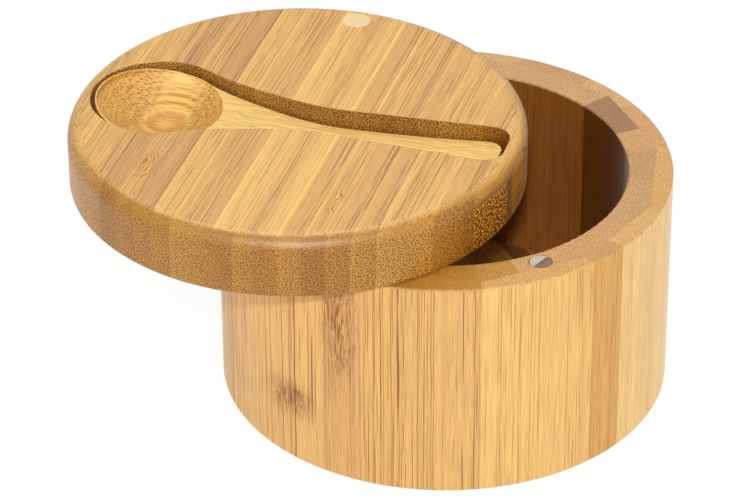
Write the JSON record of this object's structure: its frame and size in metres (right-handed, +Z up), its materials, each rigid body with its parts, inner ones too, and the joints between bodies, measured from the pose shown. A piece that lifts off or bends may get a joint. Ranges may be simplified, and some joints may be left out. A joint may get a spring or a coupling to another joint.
{
  "type": "salt box with swivel lid and spoon",
  "caption": "Round laminated bamboo salt box: thick turned wall, flat lid that swivels on an upright screw, magnetic catch, and a small spoon lying in a pocket in the lid.",
  "frame": {"origin": "centre of the box's round underside, on the surface it stands on", "axes": "+Z up; +Y from the centre towards the swivel screw at the back, so the catch magnet is at -Y, in front; +X completes the right-handed frame. The lid is at rest part open, 43.5 degrees clockwise from closed seen from above."},
  "size_m": [0.1651, 0.1422, 0.0841],
  "materials": {
    "bamboo_box": "turned and sanded laminated bamboo, upright grain, wiped with food-safe oil",
    "bamboo_floor": "sanded laminated bamboo board, oiled",
    "bamboo_lid": "laminated bamboo of light and tan strips, sanded and oiled to a low sheen",
    "bamboo_spoon": "carved bamboo, sanded smooth and oiled",
    "plug_wood": "pale hardwood plug, sanded flush with the lid",
    "screw_steel": "turned steel, bright",
    "magnet_nickel": "nickel-plated disc magnet"
  },
  "bodies": {
    "box": {"box_wall": "bamboo_box", "box_floor": "bamboo_floor", "swivel_screw": "screw_steel", "rim_magnet": "magnet_nickel"},
    "lid": {"lid": "bamboo_lid", "screw_plug": "plug_wood", "lid_magnet": "magnet_nickel"},
    "spoon": {"spoon": "bamboo_spoon"}
  },
  "joints": [
    {"name": "lid_swivel", "type": "hinge", "parent": "box", "child": "lid", "pos_m": [0, 0.05529, 0.0662], "axis": [0, 0, -1], "range_deg": [-43.5, 136.5]},
    {"name": "spoon_lift", "type": "slide", "parent": "lid", "child": "spoon", "axis": [0, 0, 1], "range_m": [0, 0.05]}
  ]
}
